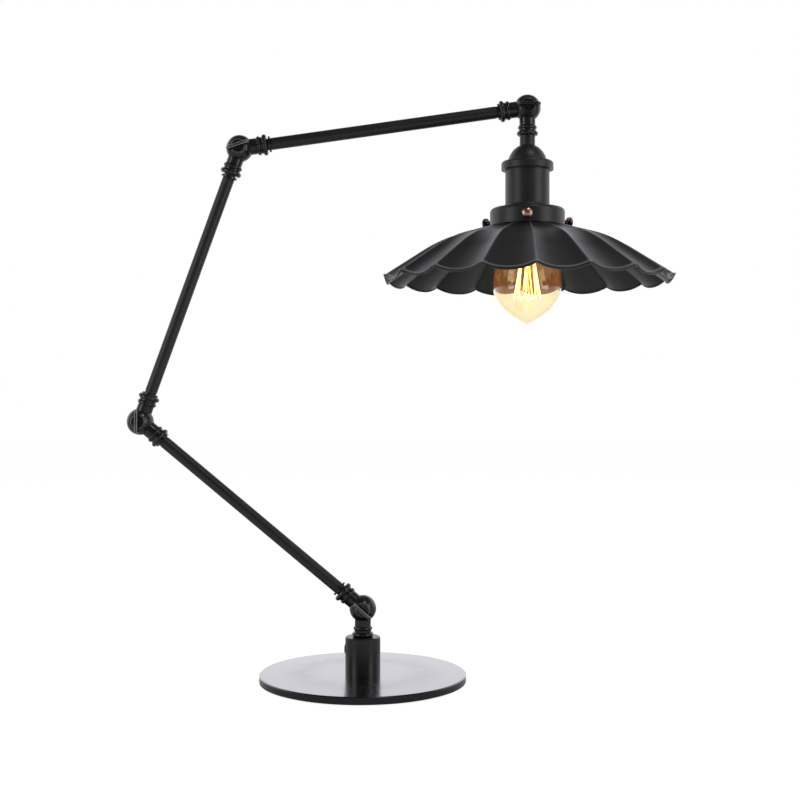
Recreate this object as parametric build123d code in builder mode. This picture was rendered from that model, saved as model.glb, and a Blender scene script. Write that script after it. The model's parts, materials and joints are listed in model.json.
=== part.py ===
from build123d import *
import os
from math import cos, hypot, radians, sin, tan

# Adjustable table lamp: a round plate and post, three equal arms on half-ball pivots that wing
# screws clamp, and a fluted shade that three thumb screws hold over a screw-in filament bulb.
# Millimetres, +Z up, origin under the middle of the base. The arms lie in the XZ plane and the
# front of the lamp faces -Y. Inside the head, a "drop" is a distance below the head pivot.

# Fits and threads
fit = 0.05  # radial clearance of threads, pins and pushed-in pieces
thread_diameter = 10.0
wire_bore = 6.5

# Base
plate_diameter = 180.0
plate_thickness = 6.2
plate_bevel = 0.8
pad_thickness = 1.0
pad_inset = 3.0
post_diameter = 30.6
post_height = 31.7
post_bevel = 0.8
post_wall = 5.0
post_crown = 7.0  # solid top of the post, over its wiring cavity
nut_across_flats = 14.0
nut_thickness = 2.6
nut_room = 0.5  # space beside and under the nut in the plate's recess
wire_window_width = 5.0
wire_window_height = 8.0

# Cord inlet, low in the side of the post
inlet_height = 20.5  # above the plate
inlet_direction = 170.0  # degrees from +X
inlet_diameter = 7.0
inlet_bore = 5.0
inlet_flange_diameter = 9.0
inlet_flange_thickness = 1.2
inlet_flat_depth = 0.8
inlet_length = 6.4

# Pivots: two half-balls on necks, a washer between them and a wing screw through both
ball_diameter = 23.4
face_gap = 0.8  # between the two half-balls
turn_clearance = 0.5  # between a half-ball and the other half's neck
chamber_diameter = 16.0  # hollow that the lead passes through
boss_diameter = 8.4
seat_height = 9.6  # flat on each half-ball, from the middle of the pivot
knuckle_reach = 24.5  # middle of the pivot to the end of the casting
socket_depth = 9.0  # threaded bore in the end of the casting
neck_diameter = 14.0
groove_diameter = 14.6
groove_width = 1.5
small_bead_diameter = 16.6
small_bead_width = 3.4
large_bead_diameter = 18.6
large_bead_width = 4.2
washer_width = 2.6
washer_inset = 0.6
washer_play = 0.1
screw_diameter = 5.0
collar_diameter = 13.0
collar_height = 3.0
collar_rounding = 1.4
wing_length = 20.0
wing_height = 9.0
wing_thickness = 2.6
wing_corner = 3.5
wing_rounding = 0.8
wing_angles = {"base": -42.0, "low": 90.0, "high": 19.0, "head": 0.0}

# Arms
arm_length = 254.0  # pivot to pivot
arm_angles = (140.0, 70.0, 8.0)  # degrees from +X, from the base upwards
tube_diameter = 10.5
tube_bore = 7.5
lock_ring_diameter = 14.0
lock_ring_thickness = 1.6
lock_ring_slack = 1.5  # how far the rings on the thread's open ends stand off the casting
thread_show = 3.5  # thread beyond the casting, which carries the lock ring

# Lamp holder
cap_neck_diameter = 13.4
cap_neck_length = 8.4
dome_height = 14.0
dome_diameter = 33.8
dome_bulge = 1.6
flange_diameter = 45.4
flange_height = 7.3
flange_rounding = 2.4
cap_wall = 2.0
cap_crown = 3.9  # thickness of the cap where the nipple passes
shell_diameter = 38.6
shell_wall = 1.2
shell_show = 30.7  # bare length of the shell between cap and gallery
shell_seat_depth = 5.0  # how far the shell goes into the cap
insulator_recess = 6.9  # from the top of the shell
insulator_floor = 7.0
insulator_wall = 3.5
screw_shell_wall = 0.6
contact_diameter = 8.0
contact_thickness = 1.2

# Gallery, the ring that holds the shade
gallery_diameter = 65.2
gallery_wall = 1.5
gallery_lip = 3.1  # height of the flared lip round the shell
gallery_lip_flare = 1.6
gallery_depth = 15.3
gallery_rounding = 3.4
gallery_nut_diameter = 49.0
gallery_nut_thickness = 3.4
shell_end_show = 1.0  # shell below the gallery nut

# Shade
flute_count = 18
flute_turn = -92.5  # direction of one ridge, degrees from +X
shade_thickness = 1.0  # measured straight down
shade_diameter = 254.0  # across the ridges at the rim
shade_shoulder_diameter = 72.0
crown_slope = 16.0  # degrees, of the ridges beside the gallery
rim_slope = 32.7  # degrees, of the ridges towards the rim
slope_change_diameter = 154.0
slope_rounding = 15.0  # radial distance to each side over which the slope changes
flute_depth = 5.8  # sag between two ridges at the rim, square to the slope
shade_gap = 0.8  # under the gallery
collar_outer_diameter = 58.8  # neck of the shade inside the gallery
collar_wall = 1.0
collar_rise = 11.5
hem_width = 4.0
hem_above = 0.6
hem_below = 1.2

# Thumb screws
shade_screw_angles = (-96.0, 24.0, 144.0)  # degrees from +X
shade_screw_rise = 5.6  # above the lower edge of the gallery
shade_screw_diameter = 4.0
shade_screw_tip_play = 0.1
thumb_start = 41.3  # radius at which the knob begins
thumb_length = 4.2
thumb_diameter = 9.6
thumb_rounding = 1.2

# Bulb
bulb_play = 0.1  # between the bulb's contact and the holder's
tip_contact_diameter = 8.0
tip_contact_height = 1.5
cap_insulator_height = 2.7
cap_insulator_diameter = 19.0
bulb_cap_diameter = 26.2
bulb_cap_wall = 0.4
bulb_cap_length = 21.5
bulb_cap_bevel = 2.0
glass_neck_diameter = 25.0
glass_neck_depth = 5.0  # inside the cap
glass_diameter = 59.6
glass_wall = 0.8
glass_shoulder_radius = 112.0
glass_shoulder_angle = 29.0
glass_bowl_radius = 23.5
glass_bowl_angle = 59.0
glass_tip_radius = 4.0

# Filament mount inside the bulb
stem_flare_height = 8.0
stem_diameter = 8.0
stem_wall_play = 0.3
stem_length = 46.0  # from the top of the flare to the upper button
arbor_diameter = 2.6
button_height = 2.0
arbor_length = 24.0
lower_button_diameter = 4.4
button_margin = 0.7  # of the upper button round the hairpins
hairpin_count = 6
hairpin_width = 6.0
hairpin_length = 31.0
hairpin_gap = 0.3  # between neighbouring hairpins at the top
hairpin_spread = 6.0  # degrees that each hairpin leans outwards
filament_diameter = 0.7
support_diameter = 0.6

# Values that follow from the ones above
ball_radius = ball_diameter / 2
chamber_radius = chamber_diameter / 2
thread_radius = thread_diameter / 2
screw_radius = screw_diameter / 2
plate_top = pad_thickness + plate_thickness
post_top = plate_top + post_height
FRONT = 1
REAR = -1


def along(angle):
    """Unit direction in the XZ plane, in degrees from +X."""
    return Vector(cos(radians(angle)), 0, sin(radians(angle)))


def frame_at(point, angle):
    """Plane of the arms at a point: x along the arm, y across it, z towards the front."""
    return Plane(origin=point, x_dir=along(angle), z_dir=(0, -1, 0))


def across(frame, distance):
    """Plane square to a frame's x axis, at a distance along it."""
    return Plane(origin=frame.from_local_coords((distance, 0, 0)), x_dir=frame.z_dir, z_dir=frame.x_dir)


def sleeve(frame, inner_radius, outer_radius, start, end):
    """Round sleeve along a frame's x axis."""
    with BuildPart() as ring:
        with BuildSketch(across(frame, start)):
            Circle(outer_radius)
            Circle(inner_radius, mode=Mode.SUBTRACT)
        extrude(amount=end - start)
    return ring.part


def hex_nut(frame, start):
    """Thin hexagon nut on the lamp thread."""
    with BuildPart() as nut:
        with BuildSketch(across(frame, start)):
            RegularPolygon(nut_across_flats / 2, 6, major_radius=False)
            Circle(thread_radius + fit, mode=Mode.SUBTRACT)
        extrude(amount=nut_thickness)
    return nut.part


def keep(piece, name):
    """Label a finished piece and write it."""
    piece.label = name
    export_step(piece, f"parts/{name}.step")


os.makedirs("parts", exist_ok=True)

pivot_base = Vector(0, 0, post_top + knuckle_reach)
pivot_low = pivot_base + along(arm_angles[0]) * arm_length
pivot_high = pivot_low + along(arm_angles[1]) * arm_length
pivot_head = pivot_high + along(arm_angles[2]) * arm_length
upright = frame_at((0, 0, 0), 90)
hanging = frame_at(pivot_head, -90)
head_axis = Axis(pivot_head, (0, 0, -1))
head_profile = Plane(origin=pivot_head, x_dir=(1, 0, 0), z_dir=(0, 1, 0))  # radius, drop

# Base plate with its pad, post, nipple and nut
nut_recess = nut_thickness + nut_room
nut_start = plate_top - plate_thickness + nut_recess - nut_thickness
nut_recess_radius = nut_across_flats / 2 / cos(radians(30)) + nut_room
nipple_end = post_top + socket_depth

with BuildPart() as base_pad:
    with BuildSketch():
        Circle(plate_diameter / 2 - pad_inset)
    extrude(amount=pad_thickness)
keep(base_pad.part, "base_pad")

with BuildPart() as base_plate:
    with BuildSketch(Plane.XY.offset(pad_thickness)):
        Circle(plate_diameter / 2)
        Circle(thread_radius + fit, mode=Mode.SUBTRACT)
    extrude(amount=plate_thickness)
    chamfer(base_plate.edges().group_by(Axis.Z)[-1].sort_by(SortBy.RADIUS)[-1], plate_bevel)
    with BuildSketch(Plane.XY.offset(pad_thickness)):
        Circle(nut_recess_radius)
    extrude(amount=nut_recess, mode=Mode.SUBTRACT)
keep(base_plate.part, "base_plate")

inlet_direction_x = Vector(cos(radians(inlet_direction)), sin(radians(inlet_direction)), 0)
inlet = Plane(origin=(0, 0, plate_top + inlet_height), x_dir=inlet_direction_x, z_dir=(0, 0, 1))
inlet_seat = post_diameter / 2 - inlet_flat_depth

with BuildPart() as base_post:
    with BuildSketch(Plane.XY.offset(plate_top)):
        Circle(post_diameter / 2)
        Circle(thread_radius + fit, mode=Mode.SUBTRACT)
    extrude(amount=post_height)
    chamfer(base_post.edges().group_by(Axis.Z)[-1].sort_by(SortBy.RADIUS)[-1], post_bevel)
    with BuildSketch(Plane.XY.offset(plate_top)):
        Circle(post_diameter / 2 - post_wall)
    extrude(amount=post_height - post_crown, mode=Mode.SUBTRACT)
    with BuildSketch(across(inlet, inlet_seat)):
        Circle(inlet_flange_diameter / 2 + fit)
    extrude(amount=post_diameter, mode=Mode.SUBTRACT)
    with BuildSketch(across(inlet, inlet_seat)):
        Circle(inlet_diameter / 2 + fit)
    extrude(amount=-post_wall - inlet_flange_thickness, mode=Mode.SUBTRACT)
keep(base_post.part, "base_post")

with BuildPart() as cord_inlet_bush:
    with BuildSketch(across(inlet, inlet_seat)):
        Circle(inlet_flange_diameter / 2)
    extrude(amount=inlet_flange_thickness)
    fillet(cord_inlet_bush.edges().sort_by(Axis(inlet.origin, inlet.x_dir))[-1], inlet_flange_thickness / 3)
    with BuildSketch(across(inlet, inlet_seat)):
        Circle(inlet_diameter / 2)
    extrude(amount=-inlet_length)
    with BuildSketch(across(inlet, inlet_seat + inlet_flange_thickness)):
        Circle(inlet_bore / 2)
    extrude(amount=-inlet_length - inlet_flange_thickness, mode=Mode.SUBTRACT)
keep(cord_inlet_bush.part, "cord_inlet_bush")

with BuildPart() as base_nipple:
    with BuildSketch(Plane.XY.offset(nut_start)):
        Circle(thread_radius)
        Circle(wire_bore / 2, mode=Mode.SUBTRACT)
    extrude(amount=nipple_end - nut_start)
    with BuildSketch(across(inlet, 0)):
        SlotCenterToCenter(wire_window_height - wire_window_width, wire_window_width)
    extrude(amount=thread_diameter, mode=Mode.SUBTRACT)
keep(base_nipple.part, "base_nipple")
keep(hex_nut(upright, nut_start), "base_nut")


def knuckle(frame, side):
    """Cast half-ball with its beaded neck along the frame's x axis, on the front or the rear."""
    mating_face = frame.offset(side * face_gap / 2)
    other_half = Plane(origin=mating_face.origin, x_dir=frame.x_dir, z_dir=frame.z_dir * -side)
    large_bead_start = knuckle_reach - large_bead_width
    small_bead_end = large_bead_start - groove_width
    small_bead_start = small_bead_end - small_bead_width
    neck = neck_diameter / 2
    groove = groove_diameter / 2
    with BuildPart() as half:
        with Locations(frame):
            Sphere(ball_radius)
        with BuildSketch(frame):
            with BuildLine():
                Polyline((0, 0), (0, neck), (small_bead_start, neck))
                ThreePointArc(
                    (small_bead_start, neck),
                    (small_bead_start + small_bead_width / 2, small_bead_diameter / 2),
                    (small_bead_end, groove),
                )
                Line((small_bead_end, groove), (large_bead_start, groove))
                ThreePointArc(
                    (large_bead_start, groove),
                    (large_bead_start + large_bead_width / 2, large_bead_diameter / 2),
                    (knuckle_reach, groove),
                )
                Polyline((knuckle_reach, groove), (knuckle_reach, 0), (0, 0))
            make_face()
        revolve(axis=Axis(frame.origin, frame.x_dir))
        with Locations(other_half):
            Sphere(
                ball_radius + turn_clearance, arc_size1=0, arc_size2=90, align=None, mode=Mode.SUBTRACT
            )
        with Locations(frame):
            Sphere(chamber_radius, mode=Mode.SUBTRACT)
        with BuildSketch(mating_face):
            Circle(boss_diameter / 2)
        extrude(amount=side * (seat_height - face_gap / 2))
        with BuildSketch(frame.offset(side * seat_height)):
            Circle(ball_radius)
        extrude(amount=side * ball_radius, mode=Mode.SUBTRACT)
        with BuildSketch(frame):
            Circle(screw_radius + fit)
        extrude(amount=side * ball_radius, mode=Mode.SUBTRACT)
        with BuildSketch(across(frame, knuckle_reach)):
            Circle(thread_radius + fit)
        extrude(amount=-socket_depth, mode=Mode.SUBTRACT)
        with BuildSketch(across(frame, knuckle_reach)):
            Circle(wire_bore / 2)
        extrude(amount=boss_diameter / 2 - knuckle_reach, mode=Mode.SUBTRACT)
    return half.part


def wing_screw(pivot, wing_angle):
    """Thumb screw through a pivot: shank, round collar on the front flat, and a flat wing."""
    frame = frame_at(pivot, 0)
    wing_plane = Plane(origin=pivot, x_dir=along(wing_angle), z_dir=along(wing_angle - 90))
    with BuildPart() as wing:
        with BuildSketch(wing_plane):
            with Locations((0, seat_height + collar_height + wing_height / 2 - collar_rounding)):
                RectangleRounded(wing_length, wing_height, wing_corner)
        extrude(amount=wing_thickness / 2, both=True)
        fillet(wing.faces().sort_by(SortBy.AREA)[-2:].edges(), wing_rounding)
    with BuildPart() as screw:
        with BuildSketch(frame.offset(seat_height)):
            Circle(collar_diameter / 2)
        extrude(amount=collar_height)
        fillet(screw.edges().sort_by(Axis.Y)[0], collar_rounding)
        with BuildSketch(frame.offset(-seat_height)):
            Circle(screw_radius)
        extrude(amount=2 * seat_height)
        add(wing.part)
    return screw.part


def friction_washer(pivot):
    """Flat washer on the rear half-ball's face."""
    outer = ball_radius - washer_inset
    with BuildPart() as washer:
        with BuildSketch(frame_at(pivot, 0).offset(-face_gap / 2)):
            Circle(outer)
            Circle(outer - washer_width, mode=Mode.SUBTRACT)
        extrude(amount=face_gap - washer_play)
    return washer.part


# Pivots
pivots = {"base": pivot_base, "low": pivot_low, "high": pivot_high, "head": pivot_head}
for name, pivot in pivots.items():
    keep(wing_screw(pivot, wing_angles[name]), f"wing_screw_{name}")
    keep(friction_washer(pivot), f"friction_washer_{name}")

keep(knuckle(frame_at(pivot_base, -90), REAR), "base_knuckle")
keep(knuckle(hanging, FRONT), "head_knuckle")


def arm_tube(frame):
    """Steel tube with a thread turned on each end."""
    start = knuckle_reach - socket_depth
    shoulder = knuckle_reach + thread_show
    with BuildPart() as tube:
        with BuildSketch(across(frame, shoulder)):
            Circle(tube_diameter / 2)
        extrude(amount=arm_length - 2 * shoulder)
        with BuildSketch(across(frame, start)):
            Circle(thread_radius)
        extrude(amount=arm_length - 2 * start)
        with BuildSketch(across(frame, start)):
            Circle(tube_bore / 2)
        extrude(amount=arm_length - 2 * start, mode=Mode.SUBTRACT)
    return tube.part


def lock_rings(frame, lower_slack, upper_slack):
    """The two thin rings on an arm's threads."""
    lower = knuckle_reach + lower_slack
    upper = arm_length - knuckle_reach - upper_slack - lock_ring_thickness
    with BuildPart() as rings:
        for start in (lower, upper):
            with BuildSketch(across(frame, start)):
                Circle(lock_ring_diameter / 2)
                Circle(thread_radius + fit, mode=Mode.SUBTRACT)
            extrude(amount=lock_ring_thickness)
    return rings.part


# Arms: each starts on the front of one pivot and ends on the rear of the next
arm_ends = list(pivots.values())
for number, angle in enumerate(arm_angles, start=1):
    lower_end = frame_at(arm_ends[number - 1], angle)
    upper_end = frame_at(arm_ends[number], angle + 180)
    starts_tight = number == 2
    slack = (0, lock_ring_slack) if starts_tight else (lock_ring_slack, 0)
    keep(knuckle(lower_end, FRONT), f"arm_{number}_lower_knuckle")
    keep(knuckle(upper_end, REAR), f"arm_{number}_upper_knuckle")
    keep(arm_tube(lower_end), f"arm_{number}_tube")
    keep(lock_rings(lower_end, *slack), f"arm_{number}_lock_rings")

# Lamp holder: cap, shell, insulator and contacts
dome_drop = knuckle_reach + cap_neck_length
flange_drop = dome_drop + dome_height
flange_end = flange_drop + flange_height
shell_drop = flange_end - shell_seat_depth
crown_drop = dome_drop + cap_crown
shell_radius = shell_diameter / 2
shell_inner = shell_radius - shell_wall
gallery_drop = flange_end + shell_show
gallery_crown = gallery_drop + gallery_lip
gallery_end = gallery_crown + gallery_depth
gallery_nut_drop = gallery_crown + gallery_wall
shell_end = gallery_nut_drop + gallery_nut_thickness + shell_end_show
nipple_start = knuckle_reach - socket_depth
keep(
    sleeve(hanging, wire_bore / 2, thread_radius, nipple_start, crown_drop + nut_thickness),
    "socket_nipple",
)
keep(hex_nut(hanging, crown_drop), "socket_nut")

with BuildPart() as socket_cap:
    neck_radius = cap_neck_diameter / 2
    dome_radius = dome_diameter / 2
    flange_radius = flange_diameter / 2
    cavity_radius = nut_across_flats / 2 / cos(radians(30)) + nut_room
    bore = thread_radius + fit
    seat_radius = shell_radius + fit
    dome_middle = ((neck_radius + dome_radius) / 2 + dome_bulge, dome_drop + dome_height / 2 - dome_bulge)
    with BuildSketch(head_profile) as cap_section:
        with BuildLine():
            Polyline((bore, crown_drop), (bore, knuckle_reach), (neck_radius, knuckle_reach))
            Line((neck_radius, knuckle_reach), (neck_radius, dome_drop))
            ThreePointArc((neck_radius, dome_drop), dome_middle, (dome_radius, flange_drop))
            Polyline(
                (dome_radius, flange_drop),
                (flange_radius, flange_drop),
                (flange_radius, flange_end),
                (seat_radius, flange_end),
                (seat_radius, shell_drop),
                (dome_radius - cap_wall, shell_drop),
                (cavity_radius, crown_drop),
                (bore, crown_drop),
            )
        make_face()
        top_corner = cap_section.vertices().filter_by(
            lambda v: abs(v.X - flange_radius) < fit and abs(v.Y - flange_drop) < fit
        )
        fillet(top_corner, flange_rounding)
    revolve(axis=head_axis)
keep(socket_cap.part, "socket_cap")
keep(sleeve(hanging, shell_inner, shell_radius, shell_drop, shell_end), "socket_shell")

insulator_drop = shell_drop + insulator_recess
floor_drop = insulator_drop + insulator_floor
insulator_radius = shell_inner - fit
screw_shell_radius = insulator_radius - insulator_wall
with BuildPart() as socket_insulator:
    with BuildSketch(across(hanging, insulator_drop)):
        Circle(insulator_radius)
    extrude(amount=gallery_crown - insulator_drop)
    with BuildSketch(across(hanging, floor_drop)):
        Circle(screw_shell_radius + fit)
    extrude(amount=gallery_crown - floor_drop, mode=Mode.SUBTRACT)
keep(socket_insulator.part, "socket_insulator")
keep(
    sleeve(hanging, screw_shell_radius - screw_shell_wall, screw_shell_radius, floor_drop, gallery_crown),
    "socket_screw_shell",
)
with BuildPart() as socket_contact:
    with BuildSketch(across(hanging, floor_drop)):
        Circle(contact_diameter / 2)
    extrude(amount=contact_thickness)
keep(socket_contact.part, "socket_contact")


def outward(angle):
    """Level frame on the head's axis at the thumb screws' height, with x pointing outwards."""
    direction = Vector(cos(radians(angle)), sin(radians(angle)), 0)
    middle = pivot_head - Vector(0, 0, gallery_end - shade_screw_rise)
    return Plane(origin=middle, x_dir=direction, z_dir=(0, 0, 1))


# Gallery: a pressed cup on the shell, held by a ring nut, with three threaded holes
gallery_radius = gallery_diameter / 2
gallery_inner = gallery_radius - gallery_wall
lip_inner = shell_radius + fit
with BuildPart() as gallery_ring:
    with BuildSketch(head_profile) as gallery_section:
        with BuildLine():
            Polyline(
                (lip_inner, gallery_drop),
                (lip_inner + gallery_lip_flare / 3, gallery_drop),
                (lip_inner + gallery_lip_flare, gallery_crown),
                (gallery_radius, gallery_crown),
                (gallery_radius, gallery_end),
                (gallery_inner, gallery_end),
                (gallery_inner, gallery_nut_drop),
                (lip_inner, gallery_nut_drop),
                (lip_inner, gallery_drop),
            )
        make_face()
        outer_corner = gallery_section.vertices().sort_by(Axis.X).group_by(Axis.X)[-1].sort_by(Axis.Y)[0]
        fillet(outer_corner, gallery_rounding)
        inner_corner = gallery_section.vertices().filter_by(
            lambda v: abs(v.X - gallery_inner) < fit and abs(v.Y - gallery_nut_drop) < fit
        )
        fillet(inner_corner, gallery_rounding - gallery_wall)
    revolve(axis=head_axis)
    for angle in shade_screw_angles:
        with BuildSketch(across(outward(angle), gallery_inner - gallery_wall)):
            Circle(shade_screw_diameter / 2 + fit)
        extrude(amount=3 * gallery_wall, mode=Mode.SUBTRACT)
keep(gallery_ring.part, "gallery_ring")
keep(
    sleeve(
        hanging,
        shell_radius + fit,
        gallery_nut_diameter / 2,
        gallery_nut_drop,
        gallery_nut_drop + gallery_nut_thickness,
    ),
    "gallery_nut",
)

# Thumb screws that hold the neck of the shade
screw_tip = collar_outer_diameter / 2 + shade_screw_tip_play
for number, angle in enumerate(shade_screw_angles, start=1):
    screw_frame = outward(angle)
    with BuildPart() as shade_screw:
        with BuildSketch(across(screw_frame, thumb_start)):
            Circle(thumb_diameter / 2)
        extrude(amount=thumb_length)
        fillet(shade_screw.edges().filter_by(GeomType.CIRCLE), thumb_rounding)
        with BuildSketch(across(screw_frame, screw_tip)):
            Circle(shade_screw_diameter / 2)
        extrude(amount=thumb_start - screw_tip + thumb_length / 2)
    keep(shade_screw.part, f"shade_screw_{number}")

# Shade: flutes that sag between sharp ridges, a hem along the rim, and a neck in the gallery.
# Every level section is the same figure, larger or smaller, so the flutes deepen towards the rim.
shoulder_drop = gallery_end + shade_gap
flute_angle = 360 / flute_count
shoulder_radius = shade_shoulder_diameter / 2
rim_radius = shade_diameter / 2
bend_start = slope_change_diameter / 2 - slope_rounding
bend_end = slope_change_diameter / 2 + slope_rounding
valley_share = 1 - flute_depth / (rim_radius * sin(radians(rim_slope)))
past_rim = rim_radius + 1.2 * flute_depth / sin(radians(rim_slope))
shade_stations = (
    shoulder_radius,
    bend_start,
    slope_change_diameter / 2,
    bend_end,
    (bend_end + rim_radius) / 2,
    rim_radius,
    past_rim,
)


def ridge_depth(radius):
    """Depth of a ridge below the shoulder of the shade."""
    bend = slope_change_diameter / 2
    into_bend = min(max(radius - bend + slope_rounding, 0), 2 * slope_rounding)
    past_bend = max(radius - bend - slope_rounding, 0)
    inner = tan(radians(crown_slope))
    steeper = into_bend**2 / (4 * slope_rounding) + past_bend
    return (radius - shoulder_radius) * inner + steeper * (tan(radians(rim_slope)) - inner)


def shade_point(radius, turn):
    """Point of a level section of the shade, at so many flutes round from the first ridge."""
    angle = radians(flute_turn + turn * flute_angle)
    return radius * cos(angle), radius * sin(angle)


with BuildPart() as canopy:
    for ridge in shade_stations:
        valley = ridge * valley_share
        level = Plane(origin=pivot_head - Vector(0, 0, shoulder_drop + ridge_depth(ridge)))
        with BuildSketch(level):
            with BuildLine():
                for flute in range(flute_count):
                    ThreePointArc(
                        shade_point(ridge, flute),
                        shade_point(valley, flute + 0.5),
                        shade_point(ridge, flute + 1),
                    )
            make_face()
    loft()


def lowered(distance):
    """The full canopy, moved straight down."""
    return canopy.part.moved(Location((0, 0, -distance)))


ridge_edge = Vector(rim_radius, shoulder_drop + ridge_depth(rim_radius))
rim_line = Vector(sin(radians(rim_slope)), -cos(radians(rim_slope)))
rim_inward = Vector(rim_line.Y, -rim_line.X)
valley_edge = ridge_edge - flute_depth * rim_line
rim_far = 4 * flute_depth * rim_line
outside = rim_radius * rim_inward

with BuildPart() as hem:
    add(lowered(-hem_above))
    add(lowered(shade_thickness + hem_below), mode=Mode.SUBTRACT)
    with BuildSketch(head_profile):
        with BuildLine():
            Polyline(
                ridge_edge + rim_far,
                valley_edge - rim_far,
                valley_edge - rim_far + hem_width * rim_inward,
                ridge_edge + rim_far + hem_width * rim_inward,
                close=True,
            )
        make_face()
    revolve(axis=head_axis, mode=Mode.INTERSECT)

with BuildPart() as shade:
    add(canopy.part)
    add(lowered(shade_thickness), mode=Mode.SUBTRACT)
    with BuildSketch(head_profile):
        with BuildLine():
            Polyline(
                ridge_edge + rim_far,
                valley_edge - rim_far,
                valley_edge - rim_far - outside,
                ridge_edge + rim_far - outside,
                close=True,
            )
        make_face()
    revolve(axis=head_axis, mode=Mode.SUBTRACT)
    add(hem.part)
    with BuildSketch(across(hanging, shoulder_drop - collar_rise)):
        Circle(collar_outer_diameter / 2)
    extrude(amount=collar_rise + shade_thickness)
    with BuildSketch(across(hanging, shoulder_drop - collar_rise)):
        Circle(collar_outer_diameter / 2 - collar_wall)
    extrude(amount=collar_rise + 2 * shade_thickness, mode=Mode.SUBTRACT)
keep(shade.part, "shade")

# Bulb: contact, insulator, screw cap and glass
tip_drop = floor_drop + contact_thickness + bulb_play
cap_insulator_drop = tip_drop + tip_contact_height
bulb_cap_drop = cap_insulator_drop + cap_insulator_height
bulb_cap_end = bulb_cap_drop + bulb_cap_length
bulb_cap_radius = bulb_cap_diameter / 2
cap_insulator_radius = cap_insulator_diameter / 2
with BuildPart() as bulb_contact:
    with BuildSketch(across(hanging, tip_drop)):
        Circle(tip_contact_diameter / 2)
    extrude(amount=tip_contact_height)
    fillet(bulb_contact.edges().group_by(Axis.Z)[-1], tip_contact_height / 3)
keep(bulb_contact.part, "bulb_contact")

with BuildPart() as bulb_cap_insulator:
    with BuildSketch(head_profile):
        with BuildLine():
            Polyline(
                (0, cap_insulator_drop),
                (tip_contact_diameter / 2, cap_insulator_drop),
                (cap_insulator_radius, bulb_cap_drop),
                (0, bulb_cap_drop),
                close=True,
            )
        make_face()
    revolve(axis=head_axis)
keep(bulb_cap_insulator.part, "bulb_cap_insulator")

with BuildPart() as bulb_cap:
    with BuildSketch(across(hanging, bulb_cap_drop)):
        Circle(bulb_cap_radius)
    extrude(amount=bulb_cap_length)
    chamfer(bulb_cap.edges().group_by(Axis.Z)[-1], bulb_cap_bevel)
    with BuildSketch(across(hanging, bulb_cap_drop + bulb_cap_wall + bulb_cap_bevel)):
        Circle(bulb_cap_radius - bulb_cap_wall)
    extrude(amount=bulb_cap_length, mode=Mode.SUBTRACT)
keep(bulb_cap.part, "bulb_cap")

glass_neck_radius = glass_neck_diameter / 2
glass_radius = glass_diameter / 2
glass_start = bulb_cap_end - glass_neck_depth
shoulder_turn = radians(glass_shoulder_angle)
bowl_turn = radians(glass_bowl_angle)
shoulder_in = glass_shoulder_radius * (1 - cos(shoulder_turn))
blend_radius = (glass_radius - shoulder_in - glass_neck_radius) / (1 - cos(shoulder_turn))
widest_drop = bulb_cap_end + (glass_shoulder_radius + blend_radius) * sin(shoulder_turn)
with BuildPart() as bulb_glass:
    with BuildSketch(head_profile):
        with BuildLine():
            neck = Line((glass_neck_radius, glass_start), (glass_neck_radius, bulb_cap_end))
            blend = JernArc(neck @ 1, (0, 1), blend_radius, -glass_shoulder_angle)
            shoulder = JernArc(blend @ 1, blend % 1, glass_shoulder_radius, glass_shoulder_angle)
            bowl = JernArc(shoulder @ 1, shoulder % 1, glass_bowl_radius, glass_bowl_angle)
            tip_start = glass_tip_radius * cos(bowl_turn)
            bowl_end = bowl @ 1
            cone_drop = bowl_end.Y + (bowl_end.X - tip_start) / tan(bowl_turn)
            cone = Line(bowl_end, (tip_start, cone_drop))
            tip = JernArc(cone @ 1, cone % 1, glass_tip_radius, 90 - glass_bowl_angle)
            Polyline(tip @ 1, (0, glass_start), (glass_neck_radius, glass_start))
        make_face()
    revolve(axis=head_axis)
    neck_face = bulb_glass.faces().sort_by(Axis.Z)[-1]
    offset(amount=-glass_wall, openings=neck_face)
keep(bulb_glass.part, "bulb_glass")

# Filament mount: a flared glass stem, wire supports and a cage of hairpin filaments
stem_start = bulb_cap_end
stem_flare_radius = glass_neck_radius - glass_wall - stem_wall_play
hairpin_bend = hairpin_width / 2
hairpin_spacing = hairpin_bend + (filament_diameter + hairpin_gap) / 2
hairpin_top_radius = hairpin_spacing / tan(radians(180 / hairpin_count))
button_radius = hypot(hairpin_top_radius, hairpin_spacing) + button_margin
upper_button_drop = stem_start + stem_length
lower_button_drop = upper_button_drop + arbor_length
with BuildPart() as bulb_stem:
    with BuildSketch(head_profile):
        with BuildLine():
            Polyline(
                (0, stem_start),
                (stem_flare_radius, stem_start),
                (stem_diameter / 2, stem_start + stem_flare_height),
                (stem_diameter / 2, upper_button_drop - button_height),
                (button_radius, upper_button_drop - button_height),
                (button_radius, upper_button_drop),
                (arbor_diameter / 2, upper_button_drop),
                (arbor_diameter / 2, lower_button_drop - button_height),
                (lower_button_diameter / 2, lower_button_drop - button_height),
                (lower_button_diameter / 2, lower_button_drop),
                (0, lower_button_drop),
                close=True,
            )
        make_face()
    revolve(axis=head_axis)
keep(bulb_stem.part, "bulb_stem")


def hairpin_plane(index):
    """Leaning plane of one hairpin: origin at its top, x along its width, y down its length."""
    turn = radians(360 / hairpin_count * index)
    outwards = Vector(cos(turn), sin(turn), 0)
    sideways = Vector(-sin(turn), cos(turn), 0)
    top = pivot_head + outwards * hairpin_top_radius - Vector(0, 0, upper_button_drop + fit)
    lean = radians(hairpin_spread)
    downwards = outwards * sin(lean) - Vector(0, 0, cos(lean))
    return Plane(origin=top, x_dir=sideways, z_dir=sideways.cross(downwards))


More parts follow.
